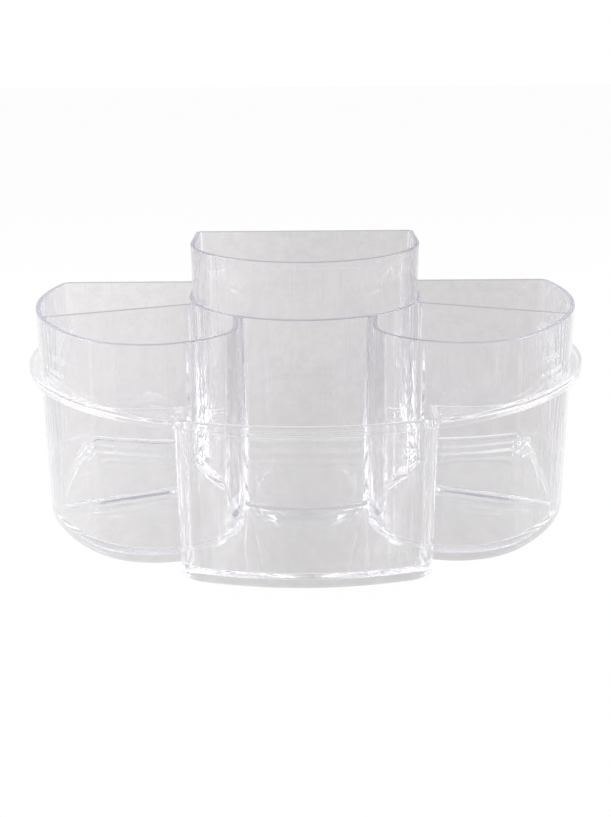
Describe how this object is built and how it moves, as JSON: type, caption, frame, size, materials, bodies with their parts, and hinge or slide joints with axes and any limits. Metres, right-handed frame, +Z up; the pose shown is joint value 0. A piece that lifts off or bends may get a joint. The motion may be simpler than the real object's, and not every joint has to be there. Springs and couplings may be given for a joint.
{
  "type": "desk organizer",
  "caption": "Clear stepped desk organizer: a tall rear cup, divided side cups and a low front bin, with a lipped ledge round the sides, a flat back and a bowed front.",
  "frame": {"origin": "middle of the base's bounding rectangle, on the table", "axes": "+Z up, +X to the right seen from the front, the flat back faces +Y and the bowed front faces -Y"},
  "size_m": [0.24, 0.141, 0.111],
  "materials": {
    "clear_plastic": "clear polished moulding"
  },
  "bodies": {
    "root": {"tall_cup": "clear_plastic", "left_cup": "clear_plastic", "right_cup": "clear_plastic", "left_divider": "clear_plastic", "right_divider": "clear_plastic", "front_bin": "clear_plastic", "left_ledge": "clear_plastic", "right_ledge": "clear_plastic"}
  },
  "joints": []
}
